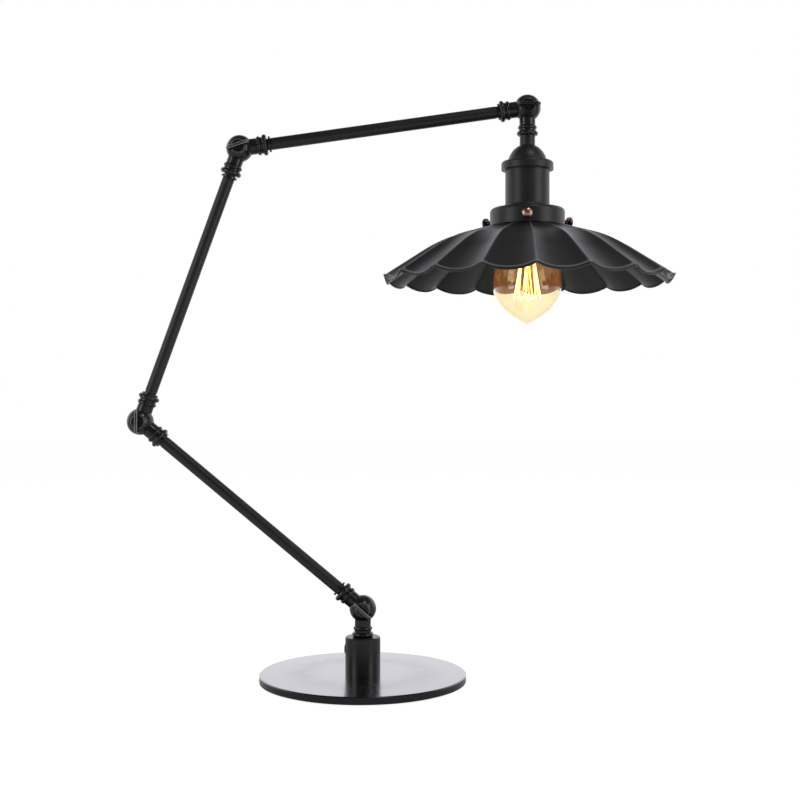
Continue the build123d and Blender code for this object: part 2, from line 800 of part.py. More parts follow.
straight = hairpin_length - hairpin_bend
with BuildPart() as bulb_filament:
    for index in range(hairpin_count):
        leaning = hairpin_plane(index)
        with BuildLine(leaning) as wire:
            Line((-hairpin_bend, filament_diameter), (-hairpin_bend, straight))
            ThreePointArc((-hairpin_bend, straight), (0, hairpin_length), (hairpin_bend, straight))
            Line((hairpin_bend, straight), (hairpin_bend, filament_diameter))
        with BuildSketch(Plane(origin=wire.line @ 0, x_dir=leaning.x_dir, z_dir=wire.line % 0)):
            Circle(filament_diameter / 2)
        sweep(path=wire.line)
keep(bulb_filament.part, "bulb_filament")

with BuildPart() as bulb_supports:
    for index in range(hairpin_count):
        leaning = hairpin_plane(index)
        reach = hairpin_length - (filament_diameter + support_diameter) / 2 - fit
        hook = leaning.from_local_coords((0, reach, 0))
        root_drop = lower_button_drop - button_height / 2
        outwards = Vector(hook.X - pivot_head.X, hook.Y, 0).normalized()
        root_radius = (lower_button_diameter + support_diameter) / 2
        root = pivot_head + outwards * root_radius - Vector(0, 0, root_drop)
        with BuildSketch(Plane(origin=root, z_dir=hook - root)):
            Circle(support_diameter / 2)
        extrude(amount=(hook - root).length)
keep(bulb_supports.part, "bulb_supports")
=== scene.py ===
# %% [markdown]
# # An adjustable table lamp
# The lamp has a heavy round plate with a post, three equal tubes on half-ball pivots, and a lamp
# holder with a fluted shade over a filament bulb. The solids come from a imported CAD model, so every
# pivot and thread is already in place. This lesson gives each of them the finish of the real thing,
# and makes the pieces whose charm is in a rule or in a line that solids give too stiffly: the flutes of
# the shade and its hem, the blown glass, the coiled filament with its supports, and the knurled screws.

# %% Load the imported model
import json
import math

import bpy
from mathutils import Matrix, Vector


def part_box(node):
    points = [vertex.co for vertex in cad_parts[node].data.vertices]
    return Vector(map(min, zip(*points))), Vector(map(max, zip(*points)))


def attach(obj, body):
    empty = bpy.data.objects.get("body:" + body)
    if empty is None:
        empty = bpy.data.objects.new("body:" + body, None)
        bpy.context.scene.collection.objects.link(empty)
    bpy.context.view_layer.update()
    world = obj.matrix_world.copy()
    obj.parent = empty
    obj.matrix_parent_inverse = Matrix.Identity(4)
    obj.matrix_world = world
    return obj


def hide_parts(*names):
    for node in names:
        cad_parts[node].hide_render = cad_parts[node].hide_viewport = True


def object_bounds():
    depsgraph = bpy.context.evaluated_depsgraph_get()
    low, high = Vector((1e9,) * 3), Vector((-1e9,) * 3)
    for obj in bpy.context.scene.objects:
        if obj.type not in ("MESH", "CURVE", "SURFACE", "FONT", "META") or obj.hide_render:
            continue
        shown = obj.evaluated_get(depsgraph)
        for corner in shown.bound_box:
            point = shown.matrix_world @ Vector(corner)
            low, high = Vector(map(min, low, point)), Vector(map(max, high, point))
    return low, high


MM = 0.001
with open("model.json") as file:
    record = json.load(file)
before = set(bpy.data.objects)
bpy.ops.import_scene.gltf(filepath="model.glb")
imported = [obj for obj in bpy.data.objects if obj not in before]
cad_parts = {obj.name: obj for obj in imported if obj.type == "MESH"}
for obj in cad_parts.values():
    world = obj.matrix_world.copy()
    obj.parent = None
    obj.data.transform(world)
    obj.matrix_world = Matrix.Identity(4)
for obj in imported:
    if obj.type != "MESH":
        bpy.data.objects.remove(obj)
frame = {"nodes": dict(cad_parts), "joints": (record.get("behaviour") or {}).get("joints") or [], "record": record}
cad_low, cad_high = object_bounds()
pivots = {joint["name"]: Vector(joint["pos_m"]) for joint in frame["joints"]}
head_pivot = pivots["head_tilt"]

# %% [markdown]
# ## The camera
# The lamp was photographed with a level camera a little over a metre away, at about half its height,
# so uprights stay upright. A longer lens from further off would flatten the ellipse of the base plate,
# so the distance comes first and the lens follows from it.

# %% Camera at the photograph's viewing angle
def new_object(name, data):
    """An object that shows this data, linked to the scene."""
    made = bpy.data.objects.new(name, data)
    bpy.context.scene.collection.objects.link(made)
    return made


camera_place = Vector((32.5, -1086, 245.5)) * MM
sensor_width = 36.0
focal_length = 55.9
camera_data = bpy.data.cameras.new("photo_camera")
camera_data.sensor_width = sensor_width
camera_data.lens = focal_length
camera = new_object("photo_camera", camera_data)
camera.location = camera_place
camera.rotation_euler = (math.radians(90), 0, 0)
bpy.context.scene.camera = camera
bpy.context.scene.view_settings.view_transform = "Standard"
print("camera", round(-camera_place.y, 3), "m in front of the arms")

# %% [markdown]
# ## One helper for every node
# Materials, the world and Geometry Nodes are all node trees. One function adds a node, applies its
# settings, and sets or links its inputs, which come as a list in the order of the sockets or, where names
# say more, as a dict. It returns the first output, so that calls can be chained, and the node itself is
# one step away as `.node`. Three smaller functions turn a hex colour into linear light, start an empty
# material, and end one with a single surface. The kinds of node that come up most get short names.

# %% Node helper, colours and materials
MATH, VECTOR_MATH = "ShaderNodeMath", "ShaderNodeVectorMath"
MIX, MAP_RANGE = "ShaderNodeMix", "ShaderNodeMapRange"


def add(tree, kind, inputs=(), **settings):
    """Adds a node to a tree and returns its first output, or the node where it has none."""
    node = tree.nodes.new(kind)
    for name, value in settings.items():
        setattr(node, name, value)
    in_use = [socket for socket in node.inputs if socket.enabled]
    by_name = {socket.name: socket for socket in reversed(in_use)}
    for key, value in inputs.items() if isinstance(inputs, dict) else enumerate(inputs):
        socket = by_name[key] if isinstance(key, str) else in_use[key]
        if isinstance(value, bpy.types.NodeSocket):
            tree.links.new(value, socket)
        else:
            socket.default_value = value
    return next((socket for socket in node.outputs if socket.enabled), node)


def linear(hex_colour):
    """An sRGB hex colour as linear red, green, blue and alpha."""
    channels = [int(hex_colour[i : i + 2], 16) / 255 for i in (1, 3, 5)]
    bent = [c / 12.92 if c <= 0.04045 else ((c + 0.055) / 1.055) ** 2.4 for c in channels]
    return (*bent, 1.0)


def new_material(name):
    """An empty node material with its tree."""
    material = bpy.data.materials.new(name)
    material.use_nodes = True
    material.node_tree.nodes.clear()
    return material, material.node_tree


def end_material(tree, looks):
    """Ends a material with one Principled surface that has these looks."""
    surface = add(tree, "ShaderNodeBsdfPrincipled", looks)
    add(tree, "ShaderNodeOutputMaterial", {"Surface": surface})


print("black paint is", [round(c, 4) for c in linear("#1c1c1e")[:3]], "in linear light")

# %% [markdown]
# ## A white studio
# A product shot on white has a bright sweep behind and below the object, a dark camera side, two large
# softboxes and a small one above. Black paint shows little but what it mirrors, so the dark parts of
# the studio matter as much as the light ones: they keep the paint black between the highlights. The
# world is white for the camera and through glass. For reflections it is a cool white behind the lamp
# up to the height of the sweep, dim above that, and dark in front.

# %% World
world = bpy.data.worlds.new("white_studio")
bpy.context.scene.world = world
world.use_nodes = True
sky = world.node_tree
sky.nodes.clear()
ambient_level = 0.35
dark_side_level = 0.05
sweep_level = 1.4
ceiling_level = 0.22
sweep_fade = (0.52, 0.78)  # upward part of a direction, where the sweep gives way to the ceiling
front_fade = (-0.1, 0.35)  # backward part of it, where the dark side gives way to the sweep
ray = add(sky, "ShaderNodeLightPath").node.outputs
direction = add(sky, "ShaderNodeTexCoord").node.outputs["Generated"]
direction = add(sky, "ShaderNodeSeparateXYZ", {"Vector": direction}).node.outputs
upwards = {"Value": direction["Z"], "From Min": sweep_fade[0], "From Max": sweep_fade[1]}
upwards.update({"To Min": sweep_level, "To Max": ceiling_level})
ceiling = add(sky, MAP_RANGE, upwards, interpolation_type="SMOOTHSTEP")
backwards = {"Value": direction["Y"], "From Min": front_fade[0], "From Max": front_fade[1]}
behind = add(sky, MAP_RANGE, backwards, interpolation_type="SMOOTHSTEP")
sweep = add(sky, MIX, [behind, dark_side_level, ceiling])
clear_view = add(sky, MATH, [ray["Is Camera Ray"], ray["Is Transmission Ray"]], operation="MAXIMUM")
glossy = ray["Is Glossy Ray"]
mirrored = add(sky, MIX, [glossy, ambient_level, sweep])
sky_level = add(sky, MIX, [clear_view, mirrored, 1.0])
sky_tint = add(sky, MIX, [glossy, linear("#ffffff"), linear("#f7f5fc")], data_type="RGBA")
sky_light = add(sky, "ShaderNodeBackground", {"Color": sky_tint, "Strength": sky_level})
add(sky, "ShaderNodeOutputWorld", {"Surface": sky_light})
print("world: ambient", ambient_level, "ceiling", ceiling_level, "dark side", dark_side_level)

# %% [markdown]
# The floor is a sheet of white paper. To the camera and through glass it is nearly as white as the
# world, and it keeps the soft shadow of the plate. In reflections only its far part glows with the
# background, and near the lamp it is plain matt paper, which leaves the undersides dark.

# %% Floor
floor_size = 12.0
floor_level = -0.2 * MM
edge = floor_size / 2
floor_mesh = bpy.data.meshes.new("floor")
floor_corners = [(x, y, floor_level) for x, y in ((-edge, -edge), (edge, -edge), (edge, edge), (-edge, edge))]
floor_mesh.from_pydata(floor_corners, [], [(0, 1, 2, 3)])
floor = new_object("floor", floor_mesh)
glow_share = 0.62
glow_level = 1.41
far_fade = (0.4, 1.2)  # metres behind the lamp, where reflections begin to see the glow
paper, tree = new_material("white_paper_sweep")
ray = add(tree, "ShaderNodeLightPath").node.outputs
seen = add(tree, MATH, [ray["Is Camera Ray"], ray["Is Transmission Ray"]], operation="MAXIMUM")
across_floor = add(tree, "ShaderNodeTexCoord").node.outputs["Object"]
depth = add(tree, "ShaderNodeSeparateXYZ", {"Vector": across_floor}).node.outputs["Y"]
far = add(tree, MAP_RANGE, {"Value": depth, "From Min": far_fade[0], "From Max": far_fade[1]})
mirrored = add(tree, MATH, [ray["Is Glossy Ray"], far], operation="MULTIPLY")
seen = add(tree, MATH, [seen, mirrored], operation="MAXIMUM")
share = add(tree, MATH, [seen, glow_share], operation="MULTIPLY")
matt = add(tree, "ShaderNodeBsdfDiffuse", {"Color": linear("#f2f2f0")})
glow = add(tree, "ShaderNodeEmission", {"Color": linear("#ffffff"), "Strength": glow_level})
surface = add(tree, "ShaderNodeMixShader", [share, matt, glow])
add(tree, "ShaderNodeOutputMaterial", {"Surface": surface})
floor_mesh.materials.append(paper)
print("floor", floor_size, "m square")

# %% [markdown]
# The two large softboxes stand in front, one on each side, and draw long soft lines down the tubes. The
# small one hangs above and puts a spot on every ball.

# %% Softboxes
def softbox(name, place, aim, width, height, watts):
    """A rectangular studio light that faces a point."""
    data = bpy.data.lights.new(name, "AREA")
    data.shape = "RECTANGLE"
    data.size = width
    data.size_y = height
    data.energy = watts
    light = new_object(name, data)
    light.location = place
    light.rotation_euler = (aim - place).to_track_quat("-Z", "Y").to_euler()


middle = (cad_low + cad_high) / 2
softbox("softbox_left", Vector((-1.3, -0.8, 0.6)), middle, 0.7, 1.2, 7.5)
softbox("softbox_right", Vector((1.3, -0.8, 0.6)), middle, 0.7, 1.2, 7.5)
softbox("softbox_above", Vector((0.5, -0.67, 1.63)), middle, 0.35, 0.35, 3.5)
print("three softboxes aimed at", [round(c, 3) for c in middle])

# %% [markdown]
# ## Black lacquers
# The tubes, holder and shade are steel under a sprayed satin lacquer. Spraying leaves a faint orange
# peel, ripples a millimetre or so across, and a sheen that varies a little over a few centimetres. The
# bump is kept very low, so that highlights stay soft but not perfect. The castings are dipped, not
# sprayed, and come out glossier, with small bright highlights; the turned post lies between the two.
# Three of the wing screws are dipped too, and their edges are made pale: partly wear where fingers
# turn them, partly a painted highlight. Ambient Occlusion that looks inwards finds an edge, because its
# rays soon come out on the other side. The ridges and the hem of the shade get thin pale lines of painted
# highlight. A piece can carry an attribute that says where these pale lines go; pieces without it read
# zero. The piece's own upward normal keeps the painted lines off the inside of the shade.

# %% Four black lacquers
def per_metre(size_mm):
    """Scale of a texture whose features are so many millimetres across."""
    return 1 / (size_mm * MM)


def mottle(tree, size_mm, detail, dark, light):
    """A noise with features of a size in millimetres, and a colour that follows it from dark to light."""
    place = add(tree, "ShaderNodeTexCoord").node.outputs["Object"]
    noise = add(tree, "ShaderNodeTexNoise", {"Vector": place, "Scale": per_metre(size_mm), "Detail": detail})
    return noise, add(tree, MIX, [noise, linear(dark), linear(light)], data_type="RGBA")


lacquers = {
    # name: (lowest roughness, highest roughness, strength of the orange peel, pale edges: wear and painted
    # highlight)
    "satin_black_lacquer": (0.38, 0.47, 0.05, 0.0),
    "turned_black_lacquer": (0.28, 0.36, 0.03, 0.0),
    "dipped_black_lacquer": (0.17, 0.25, 0.02, 0.0),
    "worn_and_highlit_black_lacquer": (0.17, 0.25, 0.02, 0.65),
}
peel_size, cloud_size = 1.4, 28.0  # in millimetres
# Painted highlight on the shade's ridges and hem; pale wing-screw edges, part wear and part painted highlight
ridge_highlight_colour, worn_highlit_edge_colour = linear("#6c6c70"), linear("#b4b2b0")
edge_depth = 1.0 * MM
edge_open = (0.84, 0.95)  # share of the inward rays that get so deep, at a worn edge and off it
for name, (smooth, rough, peel_strength, edge_wear_and_highlight) in lacquers.items():
    lacquers[name], tree = new_material(name)
    coords = add(tree, "ShaderNodeTexCoord").node.outputs
    peels = {"Vector": coords["Object"], "Scale": per_metre(peel_size), "Detail": 2.0}
    peel = add(tree, "ShaderNodeTexNoise", peels)
    cloud, tone = mottle(tree, cloud_size, 4.0, "#161618", "#1d1d1f")
    spread = {"Value": cloud, "From Min": 0.3, "From Max": 0.7, "To Min": smooth, "To Max": rough}
    sheen = add(tree, MAP_RANGE, spread)
    # Painted highlight along the shade's ridges and hem, kept to the outer face
    wear_and_highlight = add(tree, "ShaderNodeAttribute", attribute_name="wear_and_highlight").node.outputs["Fac"]
    ridge_highlight_share = add(tree, MAP_RANGE, {"Value": wear_and_highlight, "From Min": 0.4, "From Max": 1.0})
    facing = add(tree, "ShaderNodeSeparateXYZ", {"Vector": coords["Normal"]}).node.outputs["Z"]
    outside = add(tree, MATH, [facing, 0.0], operation="GREATER_THAN")
    ridge_highlight_share = add(tree, MATH, [ridge_highlight_share, outside], operation="MULTIPLY")
    tone = add(tree, MIX, [ridge_highlight_share, tone, ridge_highlight_colour], data_type="RGBA")
    # Edges made paler: part wear where fingers turn the screws, part painted highlight
    inwards = add(tree, "ShaderNodeAmbientOcclusion", {"Distance": edge_depth}, inside=True, only_local=True)
    whole = {"Value": inwards.node.outputs["AO"], "From Min": edge_open[0], "From Max": edge_open[1]}
    paler_share = add(tree, MAP_RANGE, {**whole, "To Min": edge_wear_and_highlight, "To Max": 0.0})
    tone = add(tree, MIX, [paler_share, tone, worn_highlit_edge_colour], data_type="RGBA")
    ripple = add(tree, "ShaderNodeBump", {"Height": peel, "Strength": peel_strength, "Distance": 0.1 * MM})
    paint = {"Base Color": tone, "Roughness": sheen, "IOR": 1.45, "Normal": ripple}
    end_material(tree, paint)
satin_lacquer = lacquers["satin_black_lacquer"]
print("lacquers:", *lacquers)

# %% [markdown]
# ## Gloss black enamel
# The base plate is stove-enamelled: a thick, almost mirror-like black. Seen at a low angle it
# reflects the pale studio and looks light grey, with a faint cloudy ring that buffing has left round
# the post. A clear coat over a glossy base gives that double reflection. The coat was poured on from
# above, so it lies on the faces that look up and the side of the plate stays darker.

# %% Gloss black enamel
smudge_size = 22.0  # in millimetres
haze_radius = 54 * MM
haze_width = 26 * MM
gloss_enamel, tree = new_material("gloss_black_enamel")
coords = add(tree, "ShaderNodeTexCoord").node.outputs
smudge, tint = mottle(tree, smudge_size, 5.0, "#08080a", "#101014")
smudge.node.inputs["Roughness"].default_value = 0.6
level = add(tree, VECTOR_MATH, [coords["Object"], (1.0, 1.0, 0.0)], operation="MULTIPLY")
from_post = add(tree, VECTOR_MATH, [level], operation="LENGTH").node.outputs["Value"]
off_ring = add(tree, MATH, [from_post, haze_radius], operation="SUBTRACT")
off_ring = add(tree, MATH, [off_ring], operation="ABSOLUTE")
fade = {"Value": off_ring, "From Max": haze_width, "To Min": 1.0, "To Max": 0.0}
on_ring = add(tree, MAP_RANGE, fade, interpolation_type="SMOOTHSTEP")
haze = add(tree, MATH, [on_ring, smudge], operation="MULTIPLY")
clean = add(tree, MAP_RANGE, {"Value": haze, "To Min": 0.16, "To Max": 0.38})
facing = add(tree, "ShaderNodeSeparateXYZ", {"Vector": coords["Normal"]}).node.outputs["Z"]
coated = add(tree, MATH, [facing, 0.5], operation="GREATER_THAN")
enamel = {"Base Color": tint, "Roughness": clean, "IOR": 1.45, "Specular Tint": linear("#f2f0ff")}
coat = {"Coat Weight": coated, "Coat Roughness": 0.18, "Coat IOR": 1.45}
end_material(tree, {**enamel, **coat})
print(gloss_enamel.name)

# %% [markdown]
# ## Antiqued copper
# The small screws that hold the shade are copper-plated and darkened, in patches a few millimetres
# wide. The middle of each knob is bright, partly rubbed by a thumb and partly a painted highlight. The
# screws carry the same attribute as the shade: one in the middle of the knob, zero at its rim and on the
# shank, so a screw seen from the side stays dark.

# %% Antiqued copper
patch_size = 4.0  # in millimetres
patch_brightness = 0.3
antique_copper, tree = new_material("antiqued_copper")
place = add(tree, "ShaderNodeTexCoord").node.outputs["Object"]
patch = add(tree, "ShaderNodeTexNoise", {"Vector": place, "Scale": per_metre(patch_size), "Detail": 4.0})
paler_share = add(tree, MAP_RANGE, {"Value": patch, "From Min": 0.45, "From Max": 0.65})
wear_and_highlight = add(tree, "ShaderNodeAttribute", attribute_name="wear_and_highlight").node.outputs["Fac"]
# Lighter patches where the patina is worn, plus the knob face's painted highlight and thumb wear
bright = add(tree, MATH, [paler_share, patch_brightness, wear_and_highlight], operation="MULTIPLY_ADD")
colour = add(tree, MIX, [bright, linear("#221815"), linear("#cfa792")], data_type="RGBA")
polish = add(tree, MAP_RANGE, {"Value": bright, "To Min": 0.35, "To Max": 0.28})
copper = {"Base Color": colour, "Metallic": 1.0, "Roughness": polish}
end_material(tree, copper)
print(antique_copper.name)

# %% [markdown]
# ## Plain metals, porcelain, fibre, rubber and nylon
# The hidden pieces have workaday finishes: spun brass, zinc-plated steel, drawn nickel wire, glazed
# porcelain, pressed fibre, moulded rubber and nylon. Each is a base colour that varies along a fine
# noise, with its own gloss, so one loop makes them all from a short table.

# %% Plain finishes
plain_finishes = {
    # name: (dark, light, metallic, lowest roughness, highest roughness, feature size in mm)
    "spun_brass": ("#a8813f", "#c9a45c", 1.0, 0.22, 0.38, 3.0),
    "zinc_plated_steel": ("#8b8e90", "#b4b7b8", 1.0, 0.25, 0.42, 2.0),
    "drawn_nickel_wire": ("#8d8a82", "#b0ada4", 1.0, 0.2, 0.3, 1.5),
    "glazed_porcelain": ("#dcd9cf", "#ece9e0", 0.0, 0.08, 0.16, 6.0),
    "pressed_fibre": ("#3a221a", "#553328", 0.0, 0.6, 0.8, 1.5),
    "moulded_rubber": ("#161616", "#222222", 0.0, 0.7, 0.9, 2.0),
    "moulded_nylon": ("#141415", "#1e1e20", 0.0, 0.4, 0.55, 2.5),
    "black_glass_bead": ("#08080a", "#101014", 0.0, 0.06, 0.12, 4.0),
}
plain = {}
for name, (dark, light, metallic, smooth, rough, size) in plain_finishes.items():
    plain[name], tree = new_material(name)
    grain, colour = mottle(tree, size, 4.0, dark, light)
    spread = {"Value": grain, "From Min": 0.3, "From Max": 0.7, "To Min": smooth, "To Max": rough}
    gloss = add(tree, MAP_RANGE, spread)
    finish = {"Base Color": colour, "Metallic": metallic, "Roughness": gloss}
    end_material(tree, finish)
print(len(plain), "plain finishes")

# %% [markdown]
# ## Amber glass and a glowing filament
# The bulb is blown from tinted glass under a millimetre thick. Light meets four surfaces on its way
# through, and the tint of the base colour builds up at each of them, so it is kept pale. The glass is
# given a painted glow for the filament's light it catches: a pale yellow near the tip, where the wire
# shines straight at it, and a weaker orange higher up. The stem that carries the wires has a painted
# orange glow from the filament close by. A light ray that is only asking for shadows passes straight
# through, because the bulb lights the inside of the shade. The tungsten is far brighter than white, so it burns
# out to a pale yellow.

# %% Glass and filament
glass_low, glass_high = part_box("bulb_glass")
pale_below = glass_low.z + 16 * MM
amber_above = glass_low.z + 36 * MM
streak_size, heat_size = 30.0, 9.0  # in millimetres
amber_glass, tree = new_material("amber_blown_glass")
place = add(tree, "ShaderNodeTexCoord").node.outputs["Object"]
height = add(tree, "ShaderNodeSeparateXYZ", {"Vector": place}).node.outputs["Z"]
tint = mottle(tree, streak_size, 2.0, "#fdf5d6", "#fef9e2")[1]
climb = {"Value": height, "From Min": pale_below, "From Max": amber_above}
raised = add(tree, MAP_RANGE, climb, interpolation_type="SMOOTHSTEP")
# Painted glow of the filament's light on the glass, pale near the tip and orange higher up
painted_glow_colour = add(tree, MIX, [raised, linear("#fff0b4"), linear("#ff8a3a")], data_type="RGBA")
painted_glow = add(tree, MAP_RANGE, {"Value": raised, "To Min": 0.06, "To Max": 0.04})
clear = {"Base Color": tint, "Roughness": 0.0, "IOR": 1.5, "Transmission Weight": 1.0}
lit = {"Emission Color": painted_glow_colour, "Emission Strength": painted_glow}
glass_surface = add(tree, "ShaderNodeBsdfPrincipled", {**clear, **lit})
through = add(tree, "ShaderNodeBsdfTransparent", {"Color": linear("#fff4d4")})
ray = add(tree, "ShaderNodeLightPath").node.outputs
surface = add(tree, "ShaderNodeMixShader", [ray["Is Shadow Ray"], glass_surface, through])
add(tree, "ShaderNodeOutputMaterial", {"Surface": surface})

clear_glass, tree = new_material("clear_lead_glass")
clear = {"Base Color": linear("#f6f2e4"), "Roughness": 0.02, "IOR": 1.52, "Transmission Weight": 1.0}
# Painted orange glow of the nearby filament's light on the stem
lit = {"Emission Color": linear("#ff9030"), "Emission Strength": 0.5}
end_material(tree, {**clear, **lit})

glowing_tungsten, tree = new_material("glowing_tungsten")
colour = mottle(tree, heat_size, 2.0, "#ffb650", "#ffdc98")[1]
wire = {"Base Color": linear("#5a5048"), "Metallic": 1.0, "Roughness": 0.5}
lit = {"Emission Color": colour, "Emission Strength": 8.0}
end_material(tree, {**wire, **lit})
print(amber_glass.name, clear_glass.name, glowing_tungsten.name)

# %% [markdown]
# ## A finish for every solid
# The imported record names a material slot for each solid, and a table gives each slot its finish. Black
# paint stands for several lacquers, so a second table picks one by the kind of piece. The meshes of the
# solids stay as they are.

# %% Give each node its finish
finish_of_slot = {
    "satin_black_paint": satin_lacquer,
    "gloss_black_enamel": gloss_enamel,
    "black_rubber_pad": plain["moulded_rubber"],
    "zinc_steel": plain["zinc_plated_steel"],
    "black_plastic": plain["moulded_nylon"],
    "fibre_washer": plain["pressed_fibre"],
    "antique_copper": antique_copper,
    "white_ceramic": plain["glazed_porcelain"],
    "contact_brass": plain["spun_brass"],
    "bulb_cap_brass": plain["spun_brass"],
    "black_glass_bead": plain["black_glass_bead"],
    "amber_glass": amber_glass,
    "clear_glass": clear_glass,
    "support_wire": plain["drawn_nickel_wire"],
    "glowing_filament": glowing_tungsten,
}
lacquer_of_kind = {
    "knuckle": "dipped_black_lacquer",
    "lock_rings": "dipped_black_lacquer",
    "base_post": "turned_black_lacquer",
    "wing_screw": "worn_and_highlit_black_lacquer",
    "wing_screw_head": "dipped_black_lacquer",
}
for subpart in frame["record"]["subparts"]:
    node_object = frame["nodes"][subpart["node"]]
    finish = finish_of_slot[subpart["material_slot"]]
    for kind, lacquer in lacquer_of_kind.items():
        if kind in subpart["node"]:
            finish = lacquers[lacquer]
    for material_slot in node_object.material_slots:
        material_slot.material = finish

# %% [markdown]
# ## A Geometry Nodes tree becomes a piece
# Each tree below starts from named inputs in real sizes, and ends by making copies real and giving them
# their finish. It is hung on an object as a modifier, its inputs are set by their identifiers, and the
# evaluated result is copied to a plain mesh. The modifier is then gone, so the piece can be fixed to
# its body like any other.

# %% From tree to mesh
def new_tree(name, **inputs):
    """A Geometry Nodes tree with inputs listed by kind, and the sockets that offer them."""
    tree = bpy.data.node_groups.new(name, "GeometryNodeTree")
    tree.interface.new_socket("Geometry", in_out="INPUT", socket_type="NodeSocketGeometry")
    for kind, labels in inputs.items():
        for label in labels:
            tree.interface.new_socket(label, in_out="INPUT", socket_type="NodeSocket" + kind)
    tree.interface.new_socket("Finish", in_out="INPUT", socket_type="NodeSocketMaterial")
    tree.interface.new_socket("Geometry", in_out="OUTPUT", socket_type="NodeSocketGeometry")
    return tree, tree.nodes.new("NodeGroupInput").outputs


def end_tree(tree, shape, finish):
    """Ends a tree: copies become real faces, and all of them get their finish."""
    shape = add(tree, "GeometryNodeRealizeInstances", [shape])
    shape = add(tree, "GeometryNodeSetMaterial", {"Geometry": shape, "Material": finish})
    add(tree, "NodeGroupOutput", [shape])
    print(tree.name, len(tree.nodes), "nodes")


def grow(name, tree, values, source=None):
    """Runs a tree with these input values and returns the result as a plain mesh object."""
    seed = new_object(name + "_seed", source or bpy.data.meshes.new(name + "_seed"))
    modifier = seed.modifiers.new(name, "NODES")
    modifier.node_group = tree
    identifiers = {item.name: item.identifier for item in tree.interface.items_tree if item.in_out == "INPUT"}
    for label, value in values.items():
        modifier[identifiers[label]] = value
    depsgraph = bpy.context.evaluated_depsgraph_get()
    mesh = bpy.data.meshes.new_from_object(seed.evaluated_get(depsgraph))
    mesh.name = name
    bpy.data.objects.remove(seed)
    piece = new_object(name, mesh)
    print(name, len(mesh.polygons), "faces")
    return piece


# %% [markdown]
# ## The fluted shade
# The shade is pressed from one disc of sheet steel. Sharp ridges run from its shoulder to the rim, and
# the sheet sags between them. It could be sculpted panel by panel, but the shape is a rule. Start from
# a ring at the depth of the ridges and lower each point square to the slope. The fall is greatest
# half-way between two ridges and grows with the radius, because every level cut through the shade is
# the same figure, larger or smaller. The slope changes once, half-way out. A grid whose columns go
# round and whose rows go outwards follows that rule exactly.

# %% Inputs and grid of the sheet
tree, given = new_tree(
    "fluted_sheet",
    Int=["Flutes", "Columns per Flute", "Rows"],
    Float=["First Ridge", "Neck Radius", "Neck Height", "Shoulder Radius", "Rim Radius", "Bend Start"]
    + ["Bend Width", "Crown Slope", "Rim Slope", "Flute Share", "Hollow Power"],
    Vector=["Centre"],
)
columns = add(tree, MATH, [given["Flutes"], given["Columns per Flute"]], operation="MULTIPLY")
corners = add(tree, MATH, [columns, 1.0], operation="ADD")
grid_sizes = {"Size X": 1.0, "Size Y": 1.0, "Vertices X": corners, "Vertices Y": given["Rows"]}
grid = add(tree, "GeometryNodeMeshGrid", grid_sizes)
cell = add(tree, "ShaderNodeSeparateXYZ", [add(tree, "GeometryNodeInputPosition")]).node.outputs
round_share = add(tree, MATH, [cell["X"], 0.5], operation="ADD")
out_share = add(tree, MATH, [cell["Y"], 0.5], operation="ADD")
radii = {"Value": out_share, "To Min": given["Neck Radius"], "To Max": given["Rim Radius"]}
radius = add(tree, MAP_RANGE, radii)
print("fluted_sheet has", len(given) - 2, "inputs besides its geometry")

# %% [markdown]
# The depth of a ridge is its crown slope times the distance from the shoulder, and more past the bend.
# Across the bend the slope itself changes evenly, so the extra depth there grows with the square of
# the distance.

# %% Depth and slope of the ridges
def past(tree, value, start):
    """How far a value is past a start, and zero before it."""
    beyond = add(tree, MATH, [value, start], operation="SUBTRACT")
    return add(tree, MATH, [beyond, 0.0], operation="MAXIMUM")


crown_rise = add(tree, MATH, [given["Crown Slope"]], operation="TANGENT")
rim_rise = add(tree, MATH, [given["Rim Slope"]], operation="TANGENT")
steeper = add(tree, MATH, [rim_rise, crown_rise], operation="SUBTRACT")
past_shoulder = past(tree, radius, given["Shoulder Radius"])
past_start = past(tree, radius, given["Bend Start"])
past_bend = past(tree, past_start, given["Bend Width"])
into_bend = add(tree, MATH, [past_start, given["Bend Width"]], operation="MINIMUM")
bend_share = add(tree, MATH, [into_bend, given["Bend Width"]], operation="DIVIDE")
bend_fall = add(tree, MATH, [into_bend, bend_share], operation="MULTIPLY")
bend_fall = add(tree, MATH, [bend_fall, 0.5, past_bend], operation="MULTIPLY_ADD")
crown_fall = add(tree, MATH, [past_shoulder, crown_rise], operation="MULTIPLY")
ridge_fall = add(tree, MATH, [bend_fall, steeper, crown_fall], operation="MULTIPLY_ADD")
rise = add(tree, MATH, [bend_share, steeper, crown_rise], operation="MULTIPLY_ADD")
slope = add(tree, MATH, [rise], operation="ARCTANGENT")
slope_sine = add(tree, MATH, [slope], operation="SINE")
slope_cosine = add(tree, MATH, [slope], operation="COSINE")
print("fluted_sheet", len(tree.nodes), "nodes so far")

# %% [markdown]
# With a share k of the radius lost between two ridges at the same level, the fall square to the slope
# comes to k r sin a / (1 - k cos a cos a), where a is the slope. Across a flute it follows 1 - s to a
# power a little over two, with s from -1 on one ridge to 1 on the next, which is close to a round arc.

